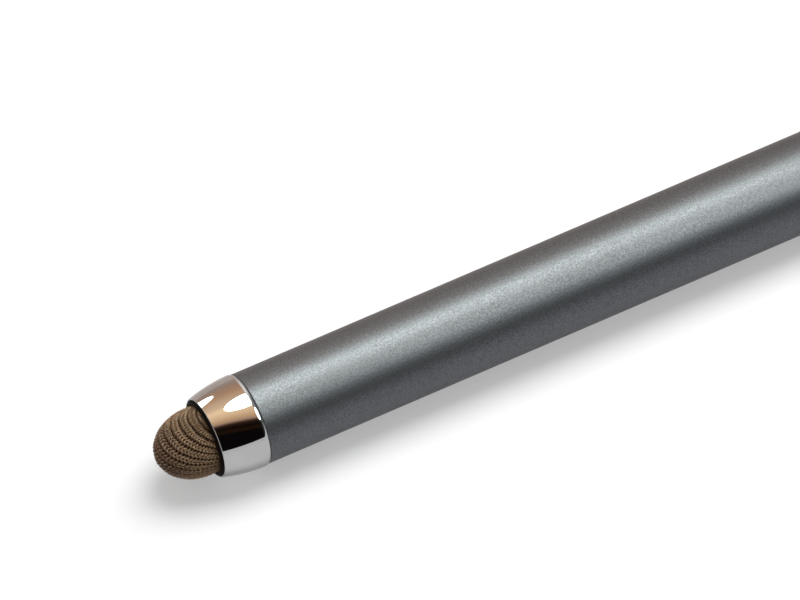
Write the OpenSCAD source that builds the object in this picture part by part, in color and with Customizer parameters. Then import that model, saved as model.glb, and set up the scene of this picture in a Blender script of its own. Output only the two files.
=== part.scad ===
// A touch-screen stylus pen: a knitted soft tip in a polished nose at one end, a ballpoint under a
// pull-off cap at the other. The pen lies along X with the soft tip at the low end, and it rests on
// its polished trims and on the corner of its clip. Places along the pen are distances from the
// soft tip's end. The origin is on the pen's axis, halfway along the barrel.

/* [Barrel] */
// Outside diameter of the barrel and of the cap
barrel_d = 9; // [8.8:0.1:10.5]
// Length of the barrel tube
barrel_length = 80; // [72:1:110]
// Wall of the barrel tube
barrel_wall = 0.7; // [0.5:0.05:0.8]
// How far the polished ring and button stand proud of the barrel
trim_proud = 0.2; // [0.16:0.02:0.4]
// Chamfer on the ends of tubes and rings
edge_break = 0.1; // [0.05:0.01:0.2]
// Length of each threaded bush bonded into the barrel
bush_length = 8; // [5.5:0.5:12]

/* [Soft tip] */
// Diameter of the knitted tip
knit_d = 6.7; // [6.2:0.1:6.8]
// Length of the tip's rounded end
knit_round = 4.25; // [3.4:0.05:5]
// Thickness of the knit
knit_thickness = 0.5; // [0.3:0.05:0.7]
// Wall of the hollow rubber core under the knit
core_wall = 0.8; // [0.5:0.05:1]
// Distance from the foot of the rounded end to the mouth of the nose
tip_reach = 0.95; // [0.9:0.05:2]
// Travel of the soft tip when it is pressed
press_travel = 0.5; // [0.2:0.05:1]
// Length of the plug's head inside the core
plug_head_length = 3; // [2:0.1:3.2]
// Diameter of the plug's stem
plug_stem_d = 3; // [2:0.1:3.4]

/* [Nose] */
// Length of the polished nose ahead of the barrel
nose_length = 4.5; // [4:0.1:6]
// How far the nose stands proud of the barrel
nose_proud = 0.1; // [0.02:0.02:0.3]
// Outside diameter at the nose's mouth
mouth_d = 7.9; // [7.6:0.02:8.2]
// Wall of the nose at its mouth
nose_lip = 0.14; // [0.12:0.01:0.2]
// Rounding of the nose's back edge
nose_edge_round = 0.4; // [0.1:0.05:0.5]
// How far the black collar stands out of the mouth
collar_proud = 0.2; // [0.2:0.05:0.8]
// Floor between the nose's pocket and its back face
nose_floor = 1.1; // [0.8:0.1:1.5]
// Diameter of the nose's thread, at half its depth
nose_thread_d = 6; // [5:0.1:6.2]
// Length of the nose's threaded stud
nose_stud_length = 4.6; // [3.5:0.1:6]
// Thickness of the rubber ring behind the nose
nose_seal_d = 0.6; // [0.4:0.05:0.7]

/* [Ballpoint end] */
// Width of the polished trim ring
trim_width = 1.2; // [0.8:0.1:3]
// Diameter of the grip section under the cap
section_d = 6.4; // [6.1:0.1:6.8]
// Length of the grip section
section_length = 15; // [12:0.5:20]
// Diameter of the section's thread, at half its depth
section_thread_d = 5.6; // [5:0.1:6]
// Length of the section's threaded stud
section_stud_length = 5.2; // [4:0.1:7]
// Length of the polished writing cone
point_cone_length = 11; // [8:0.5:16]
// Diameter of the writing cone's mouth
point_mouth_d = 2.7; // [2.3:0.1:3.4]
// Diameter of the writing cone's spigot
spigot_d = 4.2; // [3.4:0.1:4.6]
// Length of the writing cone's spigot
spigot_length = 5; // [3:0.5:6]
// Thickness of the rubber ring that grips the cap
cap_seal_d = 0.64; // [0.5:0.02:0.7]
// Distance of that ring from the section's shoulder
cap_seal_place = 3; // [2:0.1:5]

/* [Refill] */
// Length of the refill with its point
refill_length = 67; // [60:1:75]
// Diameter of the refill
refill_d = 2.35; // [2.1:0.05:2.5]
// Wall of the refill's tube
refill_wall = 0.2; // [0.1:0.05:0.3]
// Diameter of the writing ball
ball_d = 1; // [0.7:0.05:1.1]
// Diameter of the point's neck
neck_d = 1.6; // [1.4:0.05:1.8]
// Length of the point's neck
neck_length = 2.6; // [1.6:0.1:4]
// Length of the point's taper, up to the ball's centre
taper_length = 1.2; // [0.8:0.1:2]
// Length of ink in the tube
ink_length = 44; // [10:1:50]
// Outside diameter of the plastic carrier that holds the refill
carrier_d = 3.8; // [3.2:0.1:4]

/* [Cap] */
// Wall of the cap's tube
cap_wall = 0.6; // [0.5:0.05:0.7]
// Free length in the cap beyond the writing ball
cap_air = 6; // [4.8:0.2:12]
// Length of the brass insert in the cap's end
insert_length = 5; // [4.4:0.1:8]
// Length of the button on the cap's end
finial_length = 2.9; // [2:0.1:6]
// Rounding of the button's rim
finial_round = 1.1; // [0.5:0.1:1.5]
// Diameter of the button's stud
finial_stud_d = 2.9; // [2:0.1:3.4]
// Length of the button's stud inside the insert
finial_stud_length = 3.6; // [2:0.1:4.2]

/* [Clip] */
// Thickness of the clip's strip
clip_thickness = 0.6; // [0.4:0.05:0.9]
// Width of the clip at its root
clip_root_width = 3.4; // [3.2:0.1:4]
// Width of the clip at its free end
clip_end_width = 2.5; // [1.8:0.1:3.2]
// Length of the clip from its bend to its free end
clip_length = 33; // [24:0.5:35]
// Room between the clip and the cap at the bend
clip_root_room = 1.1; // [1:0.1:2]
// Room between the clip and the cap ahead of the pinch
clip_end_room = 1; // [0.7:0.1:1.1]
// Room between the clip's pinch and the cap
pinch_room = 0.08; // [0.05:0.01:0.2]
// Distance from the pinch to the clip's free end
pinch_place = 3.6; // [2.5:0.1:5]
// Length over which the clip bends in to its pinch
pinch_bend = 5; // [4:0.1:8]

/* [Hidden] */

// Clearances of the fits, and how far a cut runs past what it cuts
glue_gap = 0.03;
screw_gap = 0.05;
slide_gap = 0.05;
seat_gap = 0.02;
seam_gap = 0.04;
cap_play = 0.1;
cap_seal_play = 0.03;
cap_mouth_gap = 0.1;
refill_play = 0.05;
ball_play = 0.015;
bend_gap = 0.05;
floor_gap = 0.02;
overrun = 1;

// Small features of single pieces
thread_chamfer = 0.25;
nose_lip_round = 0.08;
plug_chamfer = 0.3;
seal_groove_side = 0.04;
section_taper_length = 3;
section_front_d = 6;
carrier_hold = 7.5;
carrier_floor = 1;
point_stop_length = 1.4;
point_shoulder_width = 0.8;
point_spigot_length = 3;
ink_bore_d = 0.5;
socket_grip = 0.1;
socket_rim = 0.05;
liner_set_back = 0.5;
liner_chamfer = 0.25;
dome_rise = 0.35;

// Facets of whole circles, and steps of curved outlines
round_facets = 96;
nose_steps = 16;
dome_steps = 24;
rim_steps = 6;
clip_steps = 40;

// Radii of the nested pieces
barrel_r = barrel_d / 2;
barrel_bore_r = barrel_r - barrel_wall;
trim_r = barrel_r + trim_proud;
nose_r = barrel_r + nose_proud;
bush_r = barrel_bore_r - glue_gap;
knit_r = knit_d / 2;
core_inset = knit_thickness + seat_gap;
core_r = knit_r - core_inset;
plug_r = core_r - core_wall - slide_gap;
plug_stem_r = plug_stem_d / 2;
mouth_r = mouth_d / 2;
pocket_r = mouth_r - nose_lip;
collar_r = pocket_r - seat_gap;
collar_bore_r = knit_r + slide_gap;
nose_stud_r = nose_thread_d / 2;
section_r = section_d / 2;
section_front_r = section_front_d / 2;
section_stud_r = section_thread_d / 2;
spigot_r = spigot_d / 2;
refill_r = refill_d / 2;
refill_way_r = refill_r + refill_play;
refill_bore_r = refill_r - refill_wall;
neck_r = neck_d / 2;
ball_r = ball_d / 2;
carrier_r = carrier_d / 2;
cap_bore_r = barrel_r - cap_wall;
liner_r = cap_bore_r - glue_gap;
liner_bore_r = section_r + cap_play;
finial_stud_r = finial_stud_d / 2;

// Places along the pen, from the soft tip's end
dome_foot = knit_round;
mouth_place = dome_foot + tip_reach;
nose_back = mouth_place + nose_length;
pocket_floor = nose_back - nose_floor;
skirt_end = pocket_floor - press_travel - slide_gap;
barrel_front = nose_back + seam_gap;
front_bush_front = nose_back + nose_seal_d + 2 * seam_gap;
barrel_back = barrel_front + barrel_length;
barrel_middle = barrel_front + barrel_length / 2;
trim_front = barrel_back + seam_gap;
trim_back = trim_front + trim_width;
section_seat = trim_back + seat_gap;
section_stud_end = section_seat - section_stud_length;
section_end = section_seat + section_length;
cap_seal_middle = section_seat + cap_seal_place;
point_cone_back = section_end + seat_gap;
point_cone_end = point_cone_back + point_cone_length;
point_stop = point_cone_end - point_stop_length;
refill_shoulder = point_stop - seat_gap;
refill_tube_end = refill_shoulder - point_shoulder_width;
ball_place = refill_shoulder + neck_length + taper_length;
refill_tail = ball_place + ball_r - refill_length;
ink_front = refill_tube_end - point_spigot_length - seat_gap;
carrier_back = refill_tail - seat_gap - carrier_floor;
carrier_front = section_stud_end + carrier_hold;
cap_front = trim_back + cap_mouth_gap;
cap_floor = ball_place + ball_r + cap_air;
cap_back = cap_floor + insert_length;
clip_ring_front = cap_back + seat_gap;
clip_ring_back = clip_ring_front + clip_thickness;
finial_front = clip_ring_back + seat_gap;
finial_end = finial_front + finial_length;

// The clip's bend, as a height from the pen's axis and a place along it
bend_height = barrel_r + clip_root_room + clip_thickness / 2;
bend_place = clip_ring_front + clip_thickness / 2;
clip_top = bend_height + clip_thickness / 2;
clip_corner_r = norm([clip_top, clip_root_width / 2]);
clip_corner_angle = atan2(clip_root_width / 2, clip_top);
// Turn of the clip from straight down at which its outer corner just clears the floor
clip_turn = clip_corner_angle + acos((max(trim_r, nose_r) - floor_gap) / clip_corner_r);

// Points of an arc about a centre, from one angle to another
function arc(centre, radius, from, to, steps) = [
    for (i = [0:steps])
        let (angle = from + (to - from) * i / steps)
            centre + radius * [cos(angle), sin(angle)]
];

// Outline of the tip's rounded end, half an oval, drawn in from the knit by an inset
function tip_outline(inset, from, to) = [
    for (i = [0:dome_steps])
        let (angle = from + (to - from) * i / dome_steps)
            [(knit_r - inset) * sin(angle), dome_foot - (knit_round - inset) * cos(angle)]
];

// Puts shapes drawn along Z, with Z as the distance from the soft tip's end, on the pen's axis
module along_pen() {
    translate([-barrel_middle, 0, 0]) rotate([0, 90, 0]) children();
}

// A piece turned on a lathe, from points that are [radius, place along the pen]
module turned(profile) {
    along_pen() rotate_extrude($fn = round_facets) polygon(profile);
}

// A plain sleeve
module sleeve(inner_r, outer_r, front, back) {
    turned([[inner_r, front], [outer_r, front], [outer_r, back], [inner_r, back]]);
}

// A tube with its outer edges broken
module trimmed_tube(inner_r, outer_r, front, back) {
    turned([
        [inner_r, front],
        [outer_r - edge_break, front],
        [outer_r, front + edge_break],
        [outer_r, back - edge_break],
        [outer_r - edge_break, back],
        [inner_r, back],
    ]);
}

// A rubber ring of round section
module rubber_ring(middle_r, thickness, place) {
    along_pen() translate([0, 0, place]) rotate_extrude($fn = round_facets)
        translate([middle_r, 0]) circle(d = thickness, $fn = round_facets / 2);
}

// A hollow rounded end with a straight skirt, one layer of the soft tip
module tip_layer(inset, wall) {
    turned(concat(
        tip_outline(inset, 0, 90),
        [[knit_r - inset, skirt_end], [knit_r - inset - wall, skirt_end]],
        tip_outline(inset + wall, 90, 0)
    ));
}

// Barrel: bead-blasted, anodised aluminium tube
module barrel() {
    color("dimgray") trimmed_tube(barrel_bore_r, barrel_r, barrel_front, barrel_back);
}

// Brass bush bonded in the barrel's front, for the nose's thread
module front_bush() {
    color("darkgoldenrod")
        sleeve(nose_stud_r + screw_gap, bush_r, front_bush_front, front_bush_front + bush_length);
}

// Brass bush bonded in the barrel's back, for the grip section's thread
module rear_bush() {
    color("darkgoldenrod")
        sleeve(section_stud_r + screw_gap, bush_r, barrel_back - bush_length, barrel_back);
}

// Rubber ring round the root of the nose's stud, inside the barrel's mouth
module nose_o_ring() {
    seal_r = nose_seal_d / 2;
    color("black")
        rubber_ring(nose_stud_r + seat_gap + seal_r, nose_seal_d, nose_back + seam_gap + seal_r);
}

// Nose: polished chrome on brass, swept in from the barrel to its mouth, with a threaded stud
module nose_cone() {
    drop = nose_r - mouth_r;
    sweep_front = mouth_place + nose_lip_round;
    sweep_back = nose_back - nose_edge_round;
    run = sweep_back - sweep_front;
    sweep_r = (run * run + drop * drop) / (2 * drop);
    stud_end = nose_back + nose_stud_length;
    bore_r = plug_stem_r + seat_gap;
    color("silver") turned(concat(
        [[pocket_r, mouth_place]],
        arc([mouth_r - nose_lip_round, sweep_front], nose_lip_round, -90, 0, rim_steps),
        arc([nose_r - sweep_r, sweep_back], sweep_r, -asin(run / sweep_r), 0, nose_steps),
        arc([nose_r - nose_edge_round, sweep_back], nose_edge_round, 90 / rim_steps, 90, rim_steps - 1),
        [
            [nose_stud_r, nose_back],
            [nose_stud_r, stud_end - thread_chamfer],
            [nose_stud_r - thread_chamfer, stud_end],
            [bore_r, stud_end],
            [bore_r, pocket_floor],
            [pocket_r, pocket_floor],
        ]
    ));
}

// Black collar round the knit's skirt, which swells out of the nose's mouth
module mesh_collar() {
    width = collar_r - collar_bore_r;
    swell = [
        for (i = [0:rim_steps])
            let (angle = 90 * i / rim_steps)
                [collar_bore_r + width * sin(angle), mouth_place - collar_proud * cos(angle)]
    ];
    back = pocket_floor - seat_gap;
    color("black") turned(concat(swell, [[collar_r, back], [collar_bore_r, back]]));
}

// Brass plug that fills the core's skirt, with a stem pressed through the nose
module tip_plug() {
    head_front = pocket_floor - plug_head_length;
    head_back = pocket_floor - seat_gap;
    stem_end = nose_back + nose_stud_length;
    color("darkgoldenrod") turned([
        [0, head_front],
        [plug_r - plug_chamfer, head_front],
        [plug_r, head_front + plug_chamfer],
        [plug_r, head_back],
        [plug_stem_r, head_back],
        [plug_stem_r, stem_end],
        [0, stem_end],
    ]);
}

// Hollow silicone-rubber core that gives the tip its softness
module tip_core() {
    color("dimgray") tip_layer(core_inset, core_wall);
}

// Knitted cap of conductive yarn, drawn over the core
module knit_tip() {
    color("#83755a") tip_layer(0, knit_thickness);
}

// Polished ring between the barrel and the cap
module trim_ring() {
    color("silver") trimmed_tube(section_stud_r + seat_gap, trim_r, trim_front, trim_back);
}

// Grip section under the cap, with the groove for the cap's rubber ring
module pen_section() {
    groove_floor_r = liner_bore_r - cap_seal_play - cap_seal_d - seat_gap;
    groove_half = cap_seal_d / 2 + seal_groove_side;
    groove_front = cap_seal_middle - groove_half;
    groove_back = cap_seal_middle + groove_half;
    carrier_pocket_r = carrier_r + glue_gap;
    carrier_pocket_end = carrier_front + seat_gap;
    spigot_pocket_r = spigot_r + screw_gap;
    spigot_pocket_end = section_end - spigot_length - seat_gap;
    color("gray") turned([
        [carrier_pocket_r, section_stud_end],
        [section_stud_r - thread_chamfer, section_stud_end],
        [section_stud_r, section_stud_end + thread_chamfer],
        [section_stud_r, section_seat],
        [section_r, section_seat],
        [section_r, groove_front],
        [groove_floor_r, groove_front],
        [groove_floor_r, groove_back],
        [section_r, groove_back],
        [section_r, section_end - section_taper_length],
        [section_front_r, section_end],
        [spigot_pocket_r, section_end],
        [spigot_pocket_r, spigot_pocket_end],
        [refill_way_r, spigot_pocket_end],
        [refill_way_r, carrier_pocket_end],
        [carrier_pocket_r, carrier_pocket_end],
    ]);
}

// Polished writing cone, pressed into the section, that stops the refill's shoulder
module point_cone() {
    mouth = point_mouth_d / 2;
    neck_way_r = neck_r + refill_play;
    color("silver") turned([
        [refill_way_r, point_cone_back - spigot_length],
        [spigot_r, point_cone_back - spigot_length],
        [spigot_r, point_cone_back],
        [section_front_r, point_cone_back],
        [mouth + edge_break, point_cone_end - edge_break],
        [mouth, point_cone_end],
        [neck_way_r, point_cone_end],
        [neck_way_r, point_stop],
        [refill_way_r, point_stop],
    ]);
}

// Plastic carrier, closed at its back, that keeps the refill against its stop
module refill_carrier() {
    color("white") turned([
        [0, carrier_back],
        [carrier_r, carrier_back],
        [carrier_r, carrier_front],
        [refill_r + glue_gap, carrier_front],
        [refill_r + glue_gap, refill_tail - seat_gap],
        [0, refill_tail - seat_gap],
    ]);
}

// Metal tube of the refill
module refill_tube() {
    color("lightgray") sleeve(refill_bore_r, refill_r, refill_tail, refill_tube_end);
}

// Ink in the refill's tube
module ink_column() {
    color("navy") sleeve(0, refill_bore_r - seat_gap, ink_front - ink_length, ink_front);
}

// Nickel-silver point of the refill, with the ball's socket and its ink channel
module refill_point() {
    back = refill_tube_end - point_spigot_length;
    body_back = refill_tube_end + seat_gap;
    rim_r = ball_r + ball_play + socket_rim;
    color("lightgray") difference() {
        turned([
            [0, back],
            [refill_bore_r - seat_gap, back],
            [refill_bore_r - seat_gap, body_back],
            [refill_r, body_back],
            [refill_r, refill_shoulder],
            [neck_r, refill_shoulder],
            [neck_r, refill_shoulder + neck_length],
            [rim_r, ball_place + socket_grip],
            [0, ball_place + socket_grip],
        ]);
        along_pen() translate([0, 0, ball_place])
            sphere(r = ball_r + ball_play, $fn = round_facets);
        along_pen() translate([0, 0, back - overrun])
            cylinder(d = ink_bore_d, h = ball_place - back + overrun, $fn = round_facets);
    }
}

// Carbide ball that turns in the point's socket
module writing_ball() {
    color("slategray") along_pen() translate([0, 0, ball_place])
        sphere(r = ball_r, $fn = round_facets);
}

// Rubber ring on the section that grips the cap
module cap_o_ring() {
    middle_r = liner_bore_r - cap_seal_play - cap_seal_d / 2;
    color("black") rubber_ring(middle_r, cap_seal_d, cap_seal_middle);
}

// Cap: the same aluminium tube as the barrel
module cap_tube() {
    color("dimgray") trimmed_tube(cap_bore_r, barrel_r, cap_front, cap_back);
}

// Plastic liner of the cap, which slides over the grip section
module cap_liner() {
    front = cap_front + liner_set_back;
    back = cap_floor - seat_gap;
    color("black") turned([
        [liner_bore_r + liner_chamfer, front],
        [liner_r, front],
        [liner_r, back],
        [liner_bore_r, back],
        [liner_bore_r, front + liner_chamfer],
    ]);
}

// Brass insert bonded in the cap's end, tapped for the button's stud
module cap_insert() {
    color("darkgoldenrod") sleeve(finial_stud_r + screw_gap, liner_r, cap_floor, cap_back);
}

// Height of the clip's middle line over the pen's axis, at a distance from its bend
function clip_height(way) =
    let (
        pinch = clip_length - pinch_place,
        slope = (clip_end_room - clip_root_room) / clip_length,
        pinch_height = barrel_r + pinch_room + clip_thickness / 2,
        depth = bend_height + slope * pinch - pinch_height,
        bend_share = cos(90 * min(1, abs(way - pinch) / pinch_bend))
    )
    bend_height + slope * way - depth * bend_share * bend_share;

// Stands an outline of [height over the axis, place along the pen] in the clip's plane
module in_clip_plane(width) {
    along_pen() rotate([0, 0, -clip_turn]) rotate([90, 0, 0])
        linear_extrude(height = width, center = true) children();
}

// The clip's washer, clamped under the button, with the tab that carries its arm
module clip_ring() {
    tab_end = bend_height - clip_thickness / 2 - bend_gap;
    color("silver") difference() {
        union() {
            sleeve(0, barrel_r, clip_ring_front, clip_ring_back);
            in_clip_plane(clip_root_width)
                translate([0, clip_ring_front]) square([tab_end, clip_thickness]);
        }
        sleeve(0, finial_stud_r + screw_gap, clip_ring_front - overrun, clip_ring_back + overrun);
    }
}

// Spring arm of the clip, from its bend to its free end
module clip_arm() {
    half = clip_thickness / 2;
    root_half = clip_root_width / 2;
    end_half = clip_end_width / 2;
    free_end = bend_place - clip_length;
    ways = [for (i = [0:clip_steps]) clip_length * i / clip_steps];
    outer = [for (way = ways) [clip_height(way) + half, bend_place - way]];
    inner = [for (way = ways) [clip_height(clip_length - way) - half, free_end + way]];
    bend = arc([bend_height, bend_place], half, 180 - 90 / rim_steps, 90 / rim_steps, 2 * rim_steps - 2);
    color("silver") intersection() {
        in_clip_plane(clip_root_width) polygon(concat(outer, inner, bend));
        along_pen() rotate([0, 0, -clip_turn]) rotate([90, 0, 90])
            linear_extrude(height = clip_top + overrun) union() {
                polygon([
                    [-root_half, bend_place + overrun],
                    [-end_half, free_end + end_half],
                    [end_half, free_end + end_half],
                    [root_half, bend_place + overrun],
                ]);
                translate([0, free_end + end_half]) circle(r = end_half, $fn = round_facets);
            }
    }
}

// Button that closes the cap, with a rounded rim and a low dome
module finial() {
    stud_front = cap_back - finial_stud_length;
    foot_r = trim_r - finial_round;
    dome_r = (foot_r * foot_r + dome_rise * dome_rise) / (2 * dome_rise);
    dome_angle = asin(foot_r / dome_r);
    shoulder = finial_end - dome_rise - finial_round;
    color("silver") turned(concat(
        [
            [0, stud_front],
            [finial_stud_r - thread_chamfer, stud_front],
            [finial_stud_r, stud_front + thread_chamfer],
            [finial_stud_r, finial_front],
            [trim_r - edge_break, finial_front],
            [trim_r, finial_front + edge_break],
        ],
        arc([foot_r, shoulder], finial_round, 0, 90, rim_steps),
        arc([0, finial_end - dome_r], dome_r, 90 - dome_angle + dome_angle / rim_steps, 90, rim_steps - 1)
    ));
}

barrel();
front_bush();
rear_bush();
nose_o_ring();
nose_cone();
mesh_collar();
tip_plug();
tip_core();
knit_tip();
trim_ring();
pen_section();
point_cone();
refill_carrier();
refill_tube();
ink_column();
refill_point();
writing_ball();
cap_o_ring();
cap_tube();
cap_liner();
cap_insert();
clip_ring();
clip_arm();
finial();
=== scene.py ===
# A touch-screen stylus pen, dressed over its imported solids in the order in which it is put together.
# X runs along the pen in metres, from the knitted tip at the low end to the button on the cap.
import math
import random

import bmesh
import bpy
from mathutils import Matrix, Vector, noise


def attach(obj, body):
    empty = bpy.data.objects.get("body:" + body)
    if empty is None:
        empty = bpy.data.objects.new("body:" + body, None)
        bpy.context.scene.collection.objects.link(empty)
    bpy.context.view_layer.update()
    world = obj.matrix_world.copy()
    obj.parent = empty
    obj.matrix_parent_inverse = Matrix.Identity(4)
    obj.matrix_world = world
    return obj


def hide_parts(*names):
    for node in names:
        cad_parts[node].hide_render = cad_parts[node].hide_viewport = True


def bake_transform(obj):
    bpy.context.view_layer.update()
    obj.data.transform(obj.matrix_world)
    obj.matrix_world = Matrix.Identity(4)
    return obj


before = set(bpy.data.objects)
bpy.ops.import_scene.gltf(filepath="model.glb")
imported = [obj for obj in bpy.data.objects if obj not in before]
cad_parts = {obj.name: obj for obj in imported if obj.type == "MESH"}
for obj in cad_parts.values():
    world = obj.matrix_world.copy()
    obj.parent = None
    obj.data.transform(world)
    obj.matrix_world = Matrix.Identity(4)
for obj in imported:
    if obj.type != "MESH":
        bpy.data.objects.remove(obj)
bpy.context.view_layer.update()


# Camera: a long lens 54 degrees above the table, turned so that the pen runs up to the right,
# with the knitted tip low on the left and the barrel out of the picture on the right.
aim = Vector((-0.02336, 0.00148, 0.00646))
toward_camera, camera_distance = Vector((-0.26990, -0.51416, 0.81412)), 1.7
lens = bpy.data.cameras.new("camera")
lens.sensor_width = 36
lens.lens = 823
lens.clip_start, lens.clip_end = 0.01, 20
camera = bpy.data.objects.new("camera", lens)
camera.location = aim + toward_camera * camera_distance
camera.rotation_euler = toward_camera.to_track_quat("Z", "Y").to_euler()
bpy.context.scene.collection.objects.link(camera)
bpy.context.scene.camera = camera
bpy.context.scene.view_settings.view_transform = "Standard"


# Table: a plain matt white board under the pen. The camera and glass see it as white with the pen's
# soft shadow on it, and as plain white away from the pen. Polish mirrors it as pale grey in front
# and as warm grey behind the pen.
def shader_node(tree, kind, inputs=None, **settings):
    """A node with its settings made and its inputs linked or given values."""
    made = tree.nodes.new(kind)
    for name, value in settings.items():
        setattr(made, name, value)
    for name, value in (inputs or {}).items():
        if isinstance(value, bpy.types.NodeSocket):
            tree.links.new(value, made.inputs[name])
        else:
            made.inputs[name].default_value = value
    return made


def calculate(tree, operation, *values):
    """The result of one sum on values or sockets."""
    return shader_node(tree, "ShaderNodeMath", dict(enumerate(values)), operation=operation).outputs[0]


def share_between(tree, value, start, end):
    """A share that runs from 0 where a value is at start to 1 where it is at end."""
    return shader_node(tree, "ShaderNodeMapRange", {"Value": value, "From Min": start,
                       "From Max": end}).outputs[0]


def blend_value(tree, share, low, high):
    """A value that runs from low to high with a share over the surface."""
    return shader_node(tree, "ShaderNodeMapRange", {"Value": share, "To Min": low,
                       "To Max": high}).outputs[0]


def blend_colour(tree, share, low, high):
    """A colour that runs from low to high with a share over the surface."""
    low, high = ((*end, 1) if isinstance(end, tuple) else end for end in (low, high))
    return shader_node(tree, "ShaderNodeMix", {0: share, 6: low, 7: high}, data_type="RGBA").outputs[2]


def seen_rays(tree):
    """Two masks of light paths: rays from the camera or through glass, and rays off gloss."""
    path = shader_node(tree, "ShaderNodeLightPath")
    clear = calculate(tree, "MAXIMUM", path.outputs["Is Camera Ray"],
                      path.outputs["Is Transmission Ray"])
    return clear, path.outputs["Is Glossy Ray"]


table_height, table_half = -0.0047, 1.6
white, board_ahead, board_behind = (1.0, 1.0, 1.0), (0.72, 0.72, 0.72), (0.56, 0.48, 0.43)
bm = bmesh.new()
bmesh.ops.create_grid(bm, x_segments=8, y_segments=8, size=table_half,
                      matrix=Matrix.Translation((0, 0, table_height)))
mesh = bpy.data.meshes.new("table")
bm.to_mesh(mesh)
bm.free()
table = bpy.data.objects.new("table", mesh)
bpy.context.scene.collection.objects.link(table)
board = bpy.data.materials.new("white_board")
board.use_nodes = True
tree = board.node_tree
tree.nodes.clear()
clear, gloss = seen_rays(tree)
place = shader_node(tree, "ShaderNodeTexCoord").outputs["Object"]
spot = shader_node(tree, "ShaderNodeSeparateXYZ", {0: place})
mirrored = blend_colour(tree, share_between(tree, spot.outputs["Y"], 0.004, 0.02), board_ahead,
                        board_behind)
tone = blend_colour(tree, clear, mirrored, white)
matt = shader_node(tree, "ShaderNodeBsdfDiffuse", {"Color": tone})
bright = shader_node(tree, "ShaderNodeEmission", {"Color": tone, "Strength": 1.0})
away = shader_node(tree, "ShaderNodeVectorMath", {0: place}, operation="LENGTH").outputs["Value"]
haze = blend_value(tree, share_between(tree, away, 0.14, 0.34), 0.34, 1.0)
veil = calculate(tree, "MULTIPLY", calculate(tree, "MAXIMUM", clear, gloss), haze)
both = shader_node(tree, "ShaderNodeMixShader", {0: veil, 1: matt.outputs[0], 2: bright.outputs[0]})
shader_node(tree, "ShaderNodeOutputMaterial", {"Surface": both.outputs[0]})
mesh.materials.append(board)


# Studio: one large soft box lights the pen, and two ovals and a far window, a little cool, show in
# its gloss alone. A plain grey room lights matt surfaces. Gloss mirrors a dark front, a warm back
# wall and grey ends.
def soft_box(name, height, along, wide, tall, radiance, lights=True):
    """A camera-blind oval facing the nose, at degrees over the front edge and along the pen."""
    rise, lean, distance = math.radians(height), math.radians(along), 0.7
    way = Vector((math.sin(lean), -math.cos(lean) * math.cos(rise), math.cos(lean) * math.sin(rise)))
    side = (Vector((1, 0, 0)) - way * way.x).normalized()
    light = bpy.data.lights.new(name, "AREA")
    light.shape = "ELLIPSE"
    light.size, light.size_y = 2 * wide * distance, 2 * tall * distance
    light.energy = radiance * math.pi * math.pi / 4 * light.size * light.size_y
    light.color = (1.0, 1.0, 1.0) if lights else (0.89, 1.0, 0.97)
    panel = bpy.data.objects.new(name, light)
    panel.location = Vector((-0.030, 0, 0)) + way * distance
    panel.rotation_euler = Matrix((side, way.cross(side), way)).transposed().to_euler()
    panel.visible_camera = False
    panel.visible_diffuse = lights
    panel.visible_glossy = not lights
    bpy.context.scene.collection.objects.link(panel)


def colour_ramp(tree, share, stops):
    """A colour that runs with a share through stops, the first at 0 and the last at 1."""
    made = shader_node(tree, "ShaderNodeValToRGB", {"Fac": share})
    elements = made.color_ramp.elements
    elements[0].color, elements[-1].color = (*stops[0][1], 1), (*stops[-1][1], 1)
    for place, colour in stops[1:-1]:
        elements.new(place).color = (*colour, 1)
    return made.outputs["Color"]


soft_box("key", height=102, along=24, wide=0.55, tall=0.34, radiance=5.6)
soft_box("upper_oval", height=103, along=10, wide=0.262, tall=0.285, radiance=10.6, lights=False)
soft_box("front_oval", height=64, along=38, wide=0.37, tall=0.26, radiance=7.3, lights=False)
soft_box("window", height=156, along=-14, wide=0.24, tall=0.21, radiance=5.5, lights=False)

wall_stops = [
    (0.00, (0.004, 0.003, 0.003)), (0.20, (0.004, 0.003, 0.003)), (0.24, (0.022, 0.011, 0.004)),
    (0.28, (0.008, 0.004, 0.003)), (0.325, (0.03, 0.016, 0.01)), (0.345, (0.16, 0.08, 0.05)),
    (0.37, (0.58, 0.38, 0.26)), (0.40, (0.82, 0.50, 0.28)), (0.46, (1.08, 0.74, 0.44)),
    (0.55, (1.38, 0.99, 0.60)), (0.62, (1.03, 0.73, 0.46)), (0.70, (0.88, 0.61, 0.40)),
    (0.76, (0.77, 0.48, 0.30)), (0.84, (0.62, 0.37, 0.23)), (0.92, (0.55, 0.35, 0.24)),
    (0.97, (0.48, 0.34, 0.27)), (1.00, (0.50, 0.39, 0.33))]
end_tones = [(0.30, 0.02), (0.36, 0.38), (0.64, 0.40), (0.70, 1.20), (0.90, 0.95)]
end_stops = [(0.0, (0.02, 0.02, 0.02))]
end_stops += [(place, (tone, tone * 0.98, tone * 0.96)) for place, tone in end_tones]
end_stops += [(1.0, (0.7, 0.66, 0.64))]
far_end, near_end, room_grey = (0.26, 0.25, 0.25), (0.62, 0.61, 0.60), (0.36, 0.36, 0.36)
room = bpy.data.worlds.new("room")
room.use_nodes = True
bpy.context.scene.world = room
tree = room.node_tree
tree.nodes.clear()
way = shader_node(tree, "ShaderNodeTexCoord").outputs["Generated"]
part = shader_node(tree, "ShaderNodeSeparateXYZ", {0: way})
rise = calculate(tree, "ARCTAN2", part.outputs["Z"],
                 calculate(tree, "MULTIPLY", part.outputs["Y"], -1.0))
slant = calculate(tree, "MULTIPLY_ADD", part.outputs["X"], 0.75, rise)
wall = colour_ramp(tree, share_between(tree, slant, 0.0, math.pi), wall_stops)
end = blend_colour(tree, share_between(tree, part.outputs["X"], 0.70, 0.88),
                   colour_ramp(tree, calculate(tree, "DIVIDE", rise, math.pi), end_stops), far_end)
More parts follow.
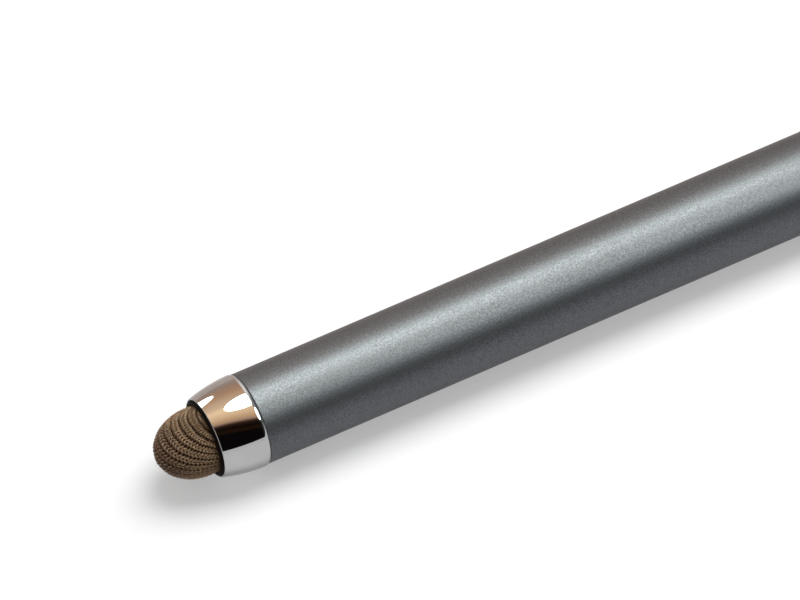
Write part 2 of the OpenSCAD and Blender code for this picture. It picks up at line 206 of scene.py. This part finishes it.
side = blend_colour(tree, share_between(tree, part.outputs["X"], 0.27, 0.33), wall, end)
round_room = blend_colour(tree, share_between(tree, part.outputs["X"], -0.42, -0.62), side, near_end)
ground = blend_colour(tree, calculate(tree, "GREATER_THAN", part.outputs["Y"], 0.0), board_ahead,
                      board_behind)
mirrored = blend_colour(tree, calculate(tree, "LESS_THAN", rise, math.radians(4.5)), round_room,
                        ground)
clear, gloss = seen_rays(tree)
seen = blend_colour(tree, clear, blend_colour(tree, gloss, room_grey, mirrored), white)
sky = shader_node(tree, "ShaderNodeBackground", {"Color": seen, "Strength": 1.0})
shader_node(tree, "ShaderNodeOutputWorld", {"Surface": sky.outputs[0]})


# Barrel: a drawn aluminium tube with broken edges, bead-blasted to a fine even grain and anodised
# gunmetal grey. The cap's tube is cut from the same stock.
def new_material(name, **values):
    """A material with one Principled shader, its plain values set on the shader's own sockets."""
    material = bpy.data.materials.new(name)
    material.use_nodes = True
    tree = material.node_tree
    tree.nodes.clear()
    surface = shader_node(tree, "ShaderNodeBsdfPrincipled")
    for key, value in values.items():
        surface.inputs[key.replace("_", " ")].default_value = value
    shader_node(tree, "ShaderNodeOutputMaterial", {"Surface": surface.outputs[0]})
    place = shader_node(tree, "ShaderNodeTexCoord").outputs["Object"]
    return material, tree, surface, place


def give_finish(tree, surface, colour, roughness, normal=None):
    """Links what varies over a surface to its shader: colour, roughness and any relief."""
    tree.links.new(colour, surface.inputs["Base Color"])
    tree.links.new(roughness, surface.inputs["Roughness"])
    if normal:
        tree.links.new(normal, surface.inputs["Normal"])


def dress(material, *names):
    """Gives CAD nodes whose shape is right their material."""
    for name in names:
        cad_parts[name].material_slots[0].material = material


def new_effect(name, inputs, outputs):
    """A node group with named inputs and outputs, its two ends ready to link."""
    group = bpy.data.node_groups.new(name, "ShaderNodeTree")
    for label, kind in inputs:
        group.interface.new_socket(label, in_out="INPUT", socket_type=kind)
    for label, kind in outputs:
        group.interface.new_socket(label, in_out="OUTPUT", socket_type=kind)
    return group, group.nodes.new("NodeGroupInput").outputs, group.nodes.new("NodeGroupOutput")


def use_effect(tree, group, inputs):
    """Places a node group in a material with its own values."""
    return shader_node(tree, "ShaderNodeGroup", inputs, node_tree=group).outputs


def relief(tree, height, depth, strength=1.0):
    """A bump whose full height is a real depth in metres."""
    return shader_node(tree, "ShaderNodeBump", {"Height": height, "Distance": depth,
                       "Strength": strength}).outputs[0]


# Fine even pits, as a blast of beads or a spark-eroded mould leaves them.
blasted_grain, given, result = new_effect(
    "blasted_grain", [("Place", "NodeSocketVector"), ("Grains", "NodeSocketFloat")],
    [("Height", "NodeSocketFloat"), ("Speckle", "NodeSocketFloat")])
coarse = shader_node(blasted_grain, "ShaderNodeTexNoise", {"Vector": given["Place"],
                     "Scale": given["Grains"], "Detail": 2.0, "Roughness": 0.65})
finer = calculate(blasted_grain, "MULTIPLY", given["Grains"], 2.6)
fine = shader_node(blasted_grain, "ShaderNodeTexNoise", {"Vector": given["Place"], "Scale": finer,
                   "Detail": 1.0})
height = calculate(blasted_grain, "MULTIPLY_ADD", fine.outputs[0], 0.6, coarse.outputs[0])
blasted_grain.links.new(height, result.inputs["Height"])
blasted_grain.links.new(share_between(blasted_grain, height, 0.62, 0.98), result.inputs["Speckle"])

# Broad faint clouds where a surface has been handled and wiped.
handling, given, result = new_effect(
    "handling", [("Place", "NodeSocketVector"), ("Patches", "NodeSocketFloat")],
    [("Mask", "NodeSocketFloat")])
cloud = shader_node(handling, "ShaderNodeTexNoise", {"Vector": given["Place"],
                    "Scale": given["Patches"], "Detail": 4.0, "Roughness": 0.6, "Distortion": 0.6})
handling.links.new(share_between(handling, cloud.outputs[0], 0.42, 0.66), result.inputs["Mask"])

blasted_aluminium, tree, surface, place = new_material("blasted_aluminium", Metallic=1.0)
grain = use_effect(tree, blasted_grain, {"Place": place, "Grains": 6000.0})
touched = use_effect(tree, handling, {"Place": place, "Patches": 90.0})
tone = blend_colour(tree, grain["Speckle"], (0.096, 0.099, 0.107), (0.168, 0.173, 0.188))
wiped = blend_value(tree, touched["Mask"], 0.0, 0.3)
give_finish(tree, surface, blend_colour(tree, wiped, tone, (0.130, 0.134, 0.146)),
            blend_value(tree, grain["Speckle"], 0.48, 0.40),
            relief(tree, grain["Height"], 0.000017, 0.7))
dress(blasted_aluminium, "barrel", "cap_tube")


# Threaded bushes: two short sleeves turned from brass bar and bonded inside the ends of the barrel,
# and the closed insert in the cap's end, which is turned from the same bar.
lathe_marks, given, result = new_effect(
    "lathe_marks", [("Place", "NodeSocketVector"), ("Lines", "NodeSocketFloat")],
    [("Height", "NodeSocketFloat"), ("Tone", "NodeSocketFloat")])
part = shader_node(lathe_marks, "ShaderNodeSeparateXYZ", {0: given["Place"]})
radius = shader_node(lathe_marks, "ShaderNodeVectorMath", {0: given["Place"], 1: (0, 1, 1)},
                     operation="MULTIPLY")
length = shader_node(lathe_marks, "ShaderNodeVectorMath", {0: radius.outputs[0]}, operation="LENGTH")
across = calculate(lathe_marks, "ADD", part.outputs["X"], length.outputs["Value"])
line = calculate(lathe_marks, "MULTIPLY", across, given["Lines"])
feed = shader_node(lathe_marks, "ShaderNodeTexNoise", {"W": line, "Scale": 1.0, "Detail": 3.0,
                   "Roughness": 0.7}, noise_dimensions="1D")
lathe_marks.links.new(feed.outputs[0], result.inputs["Height"])
lathe_marks.links.new(share_between(lathe_marks, feed.outputs[0], 0.3, 0.7), result.inputs["Tone"])

turned_brass, tree, surface, place = new_material("turned_brass", Metallic=1.0)
marks = use_effect(tree, lathe_marks, {"Place": place, "Lines": 9000.0})
give_finish(tree, surface,
            blend_colour(tree, marks["Tone"], (0.60, 0.42, 0.17), (0.76, 0.57, 0.27)),
            blend_value(tree, marks["Tone"], 0.34, 0.22), relief(tree, marks["Height"], 0.000004))
dress(turned_brass, "front_bush", "rear_bush", "tip_plug", "cap_insert")


# Rubber rings: moulded nitrile rings, one behind the nose and one in the section's groove, dull
# black with a faint bloom.
seal_rubber, tree, surface, place = new_material("seal_rubber", Specular_IOR_Level=0.35)
grain = use_effect(tree, blasted_grain, {"Place": place, "Grains": 9000.0})
bloom = use_effect(tree, handling, {"Place": place, "Patches": 900.0})
give_finish(tree, surface,
            blend_colour(tree, bloom["Mask"], (0.018, 0.018, 0.019), (0.045, 0.045, 0.044)),
            blend_value(tree, bloom["Mask"], 0.5, 0.68), relief(tree, grain["Height"], 0.000003))
dress(seal_rubber, "nose_o_ring", "cap_o_ring")


# Nose: turned from brass, polished and chrome plated. It sweeps in from the barrel to a thin lip
# and screws into the front bush with a fine thread of half a millimetre to the turn.
def wire(bm, points):
    """A chain of edges through points that are (place along the pen, radius)."""
    corners = [bm.verts.new((x, 0, r)) for x, r in points]
    for pair in zip(corners, corners[1:]):
        bm.edges.new(pair)
    return corners


def turn_round(bm, steps):
    """Turns the outline drawn so far a full circle about the pen's axis and closes it."""
    bmesh.ops.spin(bm, geom=bm.verts[:] + bm.edges[:], cent=(0, 0, 0), axis=(1, 0, 0),
                   angle=2 * math.pi, steps=steps, use_merge=True)
    bmesh.ops.remove_doubles(bm, verts=bm.verts, dist=1e-7)
    bmesh.ops.recalc_face_normals(bm, faces=bm.faces)


def rings_at(bm, corners):
    """The round edges of a turned piece at some (place along the pen, radius) corners."""
    def near(vert, x, r, close=2e-6):
        return abs(vert.co.x - x) < close and abs(math.hypot(vert.co.y, vert.co.z) - r) < close
    return [e for e in bm.edges if any(near(e.verts[0], x, r) and near(e.verts[1], x, r)
                                       for x, r in corners)]


def round_off(bm, edges, size, steps):
    """Rounds some edges of a piece."""
    bmesh.ops.bevel(bm, geom=edges, offset=size, offset_type="OFFSET", segments=steps, profile=0.5,
                    affect="EDGES", material=-1, clamp_overlap=True)


def cut_thread(bm, start, end, root, crest, pitch=0.0005, steps=48):
    """Winds a right-hand ridge round a stud, with its foot sunk a little into the stud."""
    turns = (end - start) / pitch
    foot_half, top_half, sunk = pitch * 0.42, 0.00004, 0.00003
    ridge = [bm.verts.new((start + dx, 0, r)) for dx, r in
             ((-foot_half, root - sunk), (foot_half, root - sunk), (top_half, crest),
              (-top_half, crest))]
    loop = [bm.edges.new((ridge[i], ridge[(i + 1) % 4])) for i in range(4)]
    count = round(turns * steps)
    bmesh.ops.spin(bm, geom=ridge + loop, cent=(0, 0, 0), axis=(1, 0, 0),
                   dvec=((end - start) / count, 0, 0), angle=2 * math.pi * turns, steps=count)
    bmesh.ops.holes_fill(bm, edges=[e for e in bm.edges if e.is_boundary], sides=4)
    bmesh.ops.recalc_face_normals(bm, faces=bm.faces)


def finish_piece(bm, name, material, body, stands_for):
    """Makes the piece, smooth but for its sharp edges, and puts it in the CAD nodes' place."""
    mesh = bpy.data.meshes.new(name)
    bm.to_mesh(mesh)
    bm.free()
    mesh.shade_smooth()
    mesh.set_sharp_from_angle(angle=math.radians(32))
    mesh.materials.append(material)
    piece = bpy.data.objects.new(name, mesh)
    bpy.context.scene.collection.objects.link(piece)
    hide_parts(*stands_for)
    if body:
        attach(piece, body)
    return piece


polished_chrome, tree, surface, place = new_material("polished_chrome", Metallic=1.0)
touched = use_effect(tree, handling, {"Place": place, "Patches": 260.0})
hair = use_effect(tree, lathe_marks, {"Place": place, "Lines": 16000.0})
give_finish(tree, surface,
            blend_colour(tree, touched["Mask"], (0.57, 0.57, 0.575), (0.54, 0.54, 0.545)),
            blend_value(tree, touched["Mask"], 0.025, 0.06), relief(tree, hair["Height"], 0.0000002))
dress(polished_chrome, "trim_ring", "point_cone")

mouth, seam, mouth_radius, nose_radius = -0.04454, -0.04004, 0.00395, 0.0046
drop, run = nose_radius - mouth_radius, seam - mouth
sweep = (run * run + drop * drop) / (2 * drop)
edge, edge_turn = 0.0006, math.radians(33.5)
edge_start = math.asin(edge * math.sin(edge_turn) / (sweep - edge))
edge_centre = (seam - edge * math.sin(edge_turn), 0,
               nose_radius - sweep + (sweep - edge) * math.cos(edge_start))
stud_end, stud_root, stud_crest, chamfer = -0.03544, 0.00279, 0.00304, 0.00025
pocket_floor, pocket_radius, plug_bore = -0.04114, 0.00381, 0.00152
bm = bmesh.new()
lip = bm.verts.new((mouth, 0, mouth_radius))
swept = bmesh.ops.spin(bm, geom=[lip], cent=(seam, 0, nose_radius - sweep), axis=(0, 1, 0),
                       angle=math.asin(run / sweep) - edge_start, steps=42)["geom_last"][0]
shoulder = bmesh.ops.spin(bm, geom=[swept], cent=edge_centre, axis=(0, 1, 0),
                          angle=edge_start + edge_turn, steps=10)["geom_last"][0]
corners = wire(bm, [(seam, stud_root), (stud_end - chamfer, stud_root),
                    (stud_end, stud_root - chamfer), (stud_end, plug_bore),
                    (pocket_floor, plug_bore), (pocket_floor, pocket_radius),
                    (mouth, pocket_radius)])
bm.edges.new((shoulder, corners[0]))
bm.edges.new((corners[-1], lip))
turn_round(bm, steps=160)
round_off(bm, rings_at(bm, [(mouth, mouth_radius), (mouth, pocket_radius)]), size=0.00005, steps=3)
cut_thread(bm, start=seam + 0.0009, end=stud_end - 0.0004, root=stud_root, crest=stud_crest)
finish_piece(bm, "chrome_nose", polished_chrome, "nose", ["nose_cone"])


# Collar: a black moulded ring pressed into the nose's mouth round the skirt of the knit, swelling a
# little out of it.
black_moulding, tree, surface, place = new_material("black_moulding", Specular_IOR_Level=0.012)
grain = use_effect(tree, blasted_grain, {"Place": place, "Grains": 7000.0})
give_finish(tree, surface,
            blend_colour(tree, grain["Speckle"], (0.006, 0.004, 0.004), (0.013, 0.009, 0.008)),
            blend_value(tree, grain["Speckle"], 0.36, 0.48), relief(tree, grain["Height"], 0.000004))
dress(black_moulding, "mesh_collar", "cap_liner")


# Core: a hollow dome of soft silicone rubber under the knit, which makes the tip give on glass. It
# shows as a brown ground between the loops of yarn.
silicone, tree, surface, place = new_material("silicone", Specular_IOR_Level=0.3)
grain = use_effect(tree, blasted_grain, {"Place": place, "Grains": 8000.0})
give_finish(tree, surface,
            blend_colour(tree, grain["Speckle"], (0.11, 0.062, 0.030), (0.16, 0.096, 0.048)),
            blend_value(tree, grain["Speckle"], 0.6, 0.75))
dress(silicone, "tip_core")


# Knit: plain jersey of silver-coated conductive yarn, taupe brown. A flat piece is drawn over the
# core with its middle at the tip's end, so its wales bow round the dome and crowd at the collar.
wale_pitch, course_pitch, set_off, wale_bow = 0.00092, 0.00043, 0.00028, 20.0
yarn_radius, yarn_depth, yarn_sides, yarn_steps = 0.000104, 0.00014, 6, 12
loop_reach, loop_bulge, leg_draw = 0.00030, 0.000225, 0.00006
slack, slack_waves = 0.00007, 900.0
knit_radius, knit_round = 0.00335, 0.00425
tip_end, knit_reach = -0.04974, 0.0072
bm = bmesh.new()
strand_uv = bm.loops.layers.uv.new("strand")
# One stitch: rings round the yarn's path, bridged to a strand.
rings = []
for i in range(yarn_steps + 1):
    t = 2 * math.pi * i / yarn_steps
    middle = Vector((wale_pitch * (i / yarn_steps - 0.5) + loop_bulge * math.sin(2 * t)
                     + leg_draw * math.sin(t),
                     -loop_reach * math.cos(t), -yarn_depth * math.cos(2 * t)))
    ahead = Vector((wale_pitch / (2 * math.pi) + 2 * loop_bulge * math.cos(2 * t)
                    + leg_draw * math.cos(t),
                    loop_reach * math.sin(t), 2 * yarn_depth * math.sin(2 * t))).normalized()
    side = ahead.cross(Vector((0, 0, 1))).normalized()
    turn = Matrix((side, ahead.cross(side), ahead)).transposed().to_4x4()
    made = bmesh.ops.create_circle(bm, segments=yarn_sides, radius=yarn_radius,
                                   matrix=Matrix.Translation(middle) @ turn)
    rings.append(made["verts"])
for i, (near, far) in enumerate(zip(rings, rings[1:])):
    edges = [e for ring in (near, far) for e in {e for v in ring for e in v.link_edges
                                                 if all(w in ring for w in e.verts)}]
    made = bmesh.ops.bridge_loops(bm, edges=edges)
    for face in made["faces"]:
        for loop in face.loops:
            ring = near if loop.vert in near else far
            around = ring.index(loop.vert) / yarn_sides
            if around == 0 and any(v in ring and ring.index(v) == yarn_sides - 1
                                   for v in face.verts):
                around = 1.0
            loop[strand_uv].uv = ((i + (ring is far)) / yarn_steps, around)
# Stitches side by side make a course, and courses make the flat piece.
half_wales = math.ceil(knit_reach / wale_pitch)
half_courses = math.ceil(knit_reach / course_pitch)
one = bm.verts[:] + bm.edges[:] + bm.faces[:]
for i in range(-half_wales, half_wales + 1):
    if i:
        copy = bmesh.ops.duplicate(bm, geom=one)["geom"]
        bmesh.ops.translate(bm, vec=(i * wale_pitch, 0, 0),
                            verts=[g for g in copy if isinstance(g, bmesh.types.BMVert)])
bmesh.ops.remove_doubles(bm, verts=bm.verts, dist=1e-6)
row = bm.verts[:] + bm.edges[:] + bm.faces[:]
for i in range(-half_courses, half_courses + 1):
    if i:
        copy = bmesh.ops.duplicate(bm, geom=row)["geom"]
        bmesh.ops.translate(bm, vec=(0, i * course_pitch, 0),
                            verts=[g for g in copy if isinstance(g, bmesh.types.BMVert)])
outside = [f for f in bm.faces if f.calc_center_median().xy.length > knit_reach]
bmesh.ops.delete(bm, geom=outside, context="FACES")
bmesh.ops.holes_fill(bm, edges=[e for e in bm.edges if e.is_boundary], sides=yarn_sides)
bmesh.ops.recalc_face_normals(bm, faces=bm.faces)

# Each stitch has its own shade, as the yarn's twist varies.
chance = random.Random(7)
shade = bm.faces.layers.float.new("shade")
lot = {}
for face in bm.faces:
    x, y, _ = face.calc_center_median()
    cell = (round(x / wale_pitch), round(y / course_pitch))
    face[shade] = lot.setdefault(cell, chance.random())

# Lengths along the dome's outline, from its end to where it runs straight.
steps = 600
arc = [0.0]
for i in range(1, steps + 1):
    a, b = (i - 1) * math.pi / 2 / steps, i * math.pi / 2 / steps
    arc.append(arc[-1] + math.hypot(knit_radius * (math.sin(b) - math.sin(a)),
                                    knit_round * (math.cos(a) - math.cos(b))))


def drawn_over(across, along, height):
    """Where a point of the flat knit comes to lie on the tip."""
    across = across + set_off - wale_bow * along * along
    reach = max(math.hypot(across, along), 1e-9)
    if reach < arc[-1]:
        low, high = 0, steps
        while high - low > 1:
            middle = (low + high) // 2
            low, high = (middle, high) if arc[middle] < reach else (low, middle)
        share = (reach - arc[low]) / (arc[high] - arc[low])
        angle = (low + share) * math.pi / 2 / steps
        x, r = knit_round * (1 - math.cos(angle)), knit_radius * math.sin(angle)
        out = Vector((-math.cos(angle) / knit_round, math.sin(angle) / knit_radius)).normalized()
    else:
        x, r, out = knit_round + reach - arc[-1], knit_radius, Vector((0, 1))
    x, r = x + out.x * height, r + out.y * height
    return Vector((tip_end + x, -r * along / reach, r * across / reach))


# The flat piece is laid on the tip, and each loop is a little slack.
noise.seed_set(7)
sink = yarn_radius + yarn_depth
for vert in bm.verts:
    loose = noise.noise_vector(vert.co * slack_waves) * slack
    vert.co = drawn_over(vert.co.x + loose.x, vert.co.y + loose.y, vert.co.z + loose.z / 2 - sink)

yarn, tree, surface, place = new_material("yarn", Metallic=0.3, Specular_IOR_Level=0.9)
strand = shader_node(tree, "ShaderNodeUVMap", uv_map="strand")
lay = shader_node(tree, "ShaderNodeMapping", {"Vector": strand.outputs[0],
                  "Rotation": (0, 0, 0.6), "Scale": (5.0, 3.0, 1.0)})
ply = shader_node(tree, "ShaderNodeTexWave", {"Vector": lay.outputs[0], "Scale": 1.6,
                  "Distortion": 2.5, "Detail": 2.0}, bands_direction="Y")
fibre = shader_node(tree, "ShaderNodeTexNoise", {"Vector": place, "Scale": 16000.0, "Detail": 3.0})
lot_shade = shader_node(tree, "ShaderNodeAttribute", attribute_name="shade")
patch = use_effect(tree, handling, {"Place": place, "Patches": 420.0})
tone = blend_colour(tree, lot_shade.outputs["Fac"], (0.13, 0.066, 0.027), (0.33, 0.188, 0.086))
tone = blend_colour(tree, patch["Mask"], tone, (0.12, 0.059, 0.026))
tone = blend_colour(tree, ply.outputs["Fac"], tone, (0.45, 0.292, 0.158))
spot = shader_node(tree, "ShaderNodeSeparateXYZ", {0: place})
# Darker towards the tip's end.
tip_end_dark = blend_value(tree, share_between(tree, spot.outputs["X"], -0.0476, -0.0494), 0.0, 0.7)
tone = blend_colour(tree, tip_end_dark, tone, (0.14, 0.062, 0.029))
along = shader_node(tree, "ShaderNodeSeparateXYZ", {0: strand.outputs[0]})
# Painted shade: the yarn is darker where it dives behind its neighbours, at the head and the feet of
# each loop.
dive_shade = calculate(tree, "COSINE", calculate(tree, "MULTIPLY", along.outputs["X"], 4 * math.pi))
tone = blend_colour(tree, share_between(tree, dive_shade, 0.6, -0.7), (0.16, 0.084, 0.034), tone)
height = calculate(tree, "MULTIPLY_ADD", fibre.outputs[0], 0.5, ply.outputs["Fac"])
give_finish(tree, surface, tone, blend_value(tree, fibre.outputs[0], 0.22, 0.44),
            relief(tree, height, 0.000018))
knit = finish_piece(bm, "knitted_tip", yarn, "soft_tip", ["knit_tip"])


# Grip section: turned from aluminium bar and satin anodised, with a groove for the rubber ring that
# holds the cap, and a stud of the same fine thread as the nose's.
satin_aluminium, tree, surface, place = new_material("satin_aluminium", Metallic=1.0)
marks = use_effect(tree, lathe_marks, {"Place": place, "Lines": 14000.0})
touched = use_effect(tree, handling, {"Place": place, "Patches": 180.0})
tone = blend_colour(tree, marks["Tone"], (0.52, 0.53, 0.54), (0.64, 0.65, 0.66))
give_finish(tree, surface, blend_colour(tree, touched["Mask"], tone, (0.56, 0.56, 0.56)),
            blend_value(tree, marks["Tone"], 0.36, 0.28), relief(tree, marks["Height"], 0.000003))

stud_start, stud_root, stud_crest = 0.03606, 0.00261, 0.00284
seat, section_radius, taper = 0.04126, 0.0032, 0.003
groove, groove_half, groove_floor = 0.04426, 0.00036, 0.00261
section_end, front_radius = 0.05626, 0.0030
carrier_end, carrier_bore, tube_bore = 0.04358, 0.00193, 0.001225
cone_seat, cone_bore = 0.05124, 0.00215
bm = bmesh.new()
corners = wire(bm, [
    (stud_start, carrier_bore), (stud_start, stud_root - chamfer), (stud_start + chamfer, stud_root),
    (seat, stud_root), (seat, section_radius), (groove - groove_half, section_radius),
    (groove - groove_half, groove_floor), (groove + groove_half, groove_floor),
    (groove + groove_half, section_radius), (section_end - taper, section_radius),
    (section_end, front_radius), (section_end, cone_bore), (cone_seat, cone_bore),
    (cone_seat, tube_bore), (carrier_end, tube_bore), (carrier_end, carrier_bore)])
bm.edges.new((corners[-1], corners[0]))
turn_round(bm, steps=128)
round_off(bm, rings_at(bm, [(seat, section_radius), (groove - groove_half, section_radius),
                            (groove + groove_half, section_radius), (section_end, front_radius)]),
          size=0.00006, steps=2)
cut_thread(bm, start=stud_start + 0.0005, end=seat - 0.0007, root=stud_root, crest=stud_crest)
finish_piece(bm, "grip_section", satin_aluminium, "pen_section", ["pen_section"])


# Refill: a drawn steel tube of blue-black paste ink, with a turned nickel-silver point in its front
# and a plastic carrier pushed on its back, and the carbide ball that writes.
drawn_steel, tree, surface, place = new_material("drawn_steel", Metallic=1.0)
stretch = shader_node(tree, "ShaderNodeMapping", {"Vector": place, "Scale": (120.0, 9000.0, 9000.0)})
streak = shader_node(tree, "ShaderNodeTexNoise", {"Vector": stretch.outputs[0], "Scale": 1.0,
                     "Detail": 2.0})
give_finish(tree, surface,
            blend_colour(tree, streak.outputs[0], (0.48, 0.48, 0.47), (0.68, 0.68, 0.67)),
            blend_value(tree, streak.outputs[0], 0.22, 0.36))
dress(drawn_steel, "refill_tube")

nickel_silver, tree, surface, place = new_material("nickel_silver", Metallic=1.0)
marks = use_effect(tree, lathe_marks, {"Place": place, "Lines": 20000.0})
give_finish(tree, surface,
            blend_colour(tree, marks["Tone"], (0.58, 0.55, 0.48), (0.74, 0.71, 0.64)),
            blend_value(tree, marks["Tone"], 0.3, 0.18))
dress(nickel_silver, "refill_point")

carbide, tree, surface, place = new_material("carbide", Metallic=1.0)
grain = use_effect(tree, blasted_grain, {"Place": place, "Grains": 30000.0})
give_finish(tree, surface,
            blend_colour(tree, grain["Speckle"], (0.24, 0.25, 0.27), (0.36, 0.37, 0.39)),
            blend_value(tree, grain["Speckle"], 0.12, 0.24))
dress(carbide, "writing_ball")

ink, tree, surface, place = new_material("ink", Coat_Weight=0.5, Coat_Roughness=0.08)
swirl = use_effect(tree, handling, {"Place": place, "Patches": 1500.0})
give_finish(tree, surface,
            blend_colour(tree, swirl["Mask"], (0.004, 0.006, 0.04), (0.01, 0.016, 0.08)),
            blend_value(tree, swirl["Mask"], 0.12, 0.22))
dress(ink, "ink_column")

natural_plastic, tree, surface, place = new_material("natural_plastic", Subsurface_Weight=0.15,
                                                     Subsurface_Scale=0.001)
grain = use_effect(tree, blasted_grain, {"Place": place, "Grains": 5000.0})
give_finish(tree, surface,
            blend_colour(tree, grain["Speckle"], (0.72, 0.72, 0.68), (0.80, 0.80, 0.77)),
            blend_value(tree, grain["Speckle"], 0.34, 0.44))
dress(natural_plastic, "refill_carrier")


# Clip: one strip of spring steel, chrome plated. Its washer is clamped between the cap and the
# button, and the strip turns over at a small bend, runs along the cap and dips to pinch cloth.
clip_turn = math.radians(58.6169)
washer, washer_radius, washer_bore = 0.08148, 0.0045, 0.0015
strip_half, strip_start, root_half, end_half = 0.0003, 0.0038, 0.0017, 0.00125
clip_length, clip_steps, slope, blunt_end = 0.033, 60, 0.0001, 0.12
bend_height, bend_radius = 0.0059, 0.00055
pinch_at, pinch_reach, pinch_height = 0.0294, 0.005, 0.00488
bm = bmesh.new()
skin = strip_half - 0.000004
foot = bend_height - bend_radius
outer_line = [(strip_start + (foot - strip_start) * i / 3, washer + skin) for i in range(4)]
outer_line += [(foot + (bend_radius + skin) * math.sin(math.radians(a)),
                washer - bend_radius + (bend_radius + skin) * math.cos(math.radians(a)))
               for a in (15, 30, 45, 60, 75, 90)]
for i in range(1, clip_steps + 1):
    way = bend_radius + (clip_length - bend_radius) * i / clip_steps
    droop = max(0.0, 1 - abs(way - pinch_at) / pinch_reach)
    level = bend_height + skin - slope * way / clip_length
    dip = (level - skin - pinch_height) * math.sin(math.pi / 2 * droop) ** 2
    outer_line.append((level - dip, washer - way))
wires = [bm.verts.new((x, 0, h)) for h, x in outer_line]
edges = [bm.edges.new(pair) for pair in zip(wires, wires[1:])]
bmesh.ops.translate(bm, verts=bm.verts, vec=(0, -1, 0))
across_steps = 6
for _ in range(across_steps):
    made = bmesh.ops.extrude_edge_only(bm, edges=edges)["geom"]
    edges = [g for g in made if isinstance(g, bmesh.types.BMEdge)]
    bmesh.ops.translate(bm, verts=[g for g in made if isinstance(g, bmesh.types.BMVert)],
                        vec=(0, 2 / across_steps, 0))
for vert in bm.verts:
    way = washer - vert.co.x
    half = root_half + (end_half - root_half) * max(0.0, way) / (clip_length - end_half)
    past = end_half - (clip_length - way)
    if past > 0:
        half = math.sqrt(max(end_half ** 2 - past ** 2, (blunt_end * end_half) ** 2))
    vert.co.y *= half
bmesh.ops.recalc_face_normals(bm, faces=bm.faces)
bmesh.ops.solidify(bm, geom=bm.faces[:], thickness=2 * skin)
sharp = 0.9
round_off(bm, [e for e in bm.edges if len(e.link_faces) == 2 and e.calc_face_angle(0) > sharp],
          size=0.00009, steps=2)
bmesh.ops.rotate(bm, verts=bm.verts, cent=(0, 0, 0), matrix=Matrix.Rotation(math.pi, 3, "X"))
bmesh.ops.rotate(bm, verts=bm.verts, cent=(0, 0, 0), matrix=Matrix.Rotation(-clip_turn, 3, "X"))
disc = bmesh.new()
front, back = washer - strip_half, washer + strip_half
corners = wire(disc, [(front, washer_bore), (front, washer_radius), (back, washer_radius),
                      (back, washer_bore)])
disc.edges.new((corners[-1], corners[0]))
turn_round(disc, steps=128)
round_off(disc, rings_at(disc, [(front, washer_radius), (back, washer_radius)]), size=0.00008,
          steps=2)
disc_mesh = bpy.data.meshes.new("washer")
disc.to_mesh(disc_mesh)
disc.free()
bm.from_mesh(disc_mesh)
clip = finish_piece(bm, "spring_clip", polished_chrome, None, ["clip_ring", "clip_arm"])


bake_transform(clip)


# Button: closes the cap's end, turned and chrome plated, with a rounded rim and a low dome. Its
# stud screws into the cap's insert and clamps the clip's washer.
button_foot, button_end, button_radius = 0.0818, 0.0847, 0.0047
button_stud, button_stud_end = 0.00145, 0.07756
rim, dome = 0.0011, 0.00035
foot = button_radius - rim
dome_radius = (foot * foot + dome * dome) / (2 * dome)
bm = bmesh.new()
crown = bm.verts.new((button_end, 0, 0))
domed = bmesh.ops.spin(bm, geom=[crown], cent=(button_end - dome_radius, 0, 0), axis=(0, 1, 0),
                       angle=-math.asin(foot / dome_radius), steps=12)["geom_last"][0]
rimmed = bmesh.ops.spin(bm, geom=[domed], cent=(button_end - dome - rim, 0, foot), axis=(0, 1, 0),
                        angle=-math.pi / 2, steps=14)["geom_last"][0]
corners = wire(bm, [(button_foot, button_radius), (button_foot, button_stud),
                    (button_stud_end, button_stud), (button_stud_end, 0.0)])
bm.edges.new((rimmed, corners[0]))
turn_round(bm, steps=160)
round_off(bm, rings_at(bm, [(button_foot, button_radius)]), size=0.0001, steps=3)
finish_piece(bm, "end_button", polished_chrome, "cap", ["finial"])
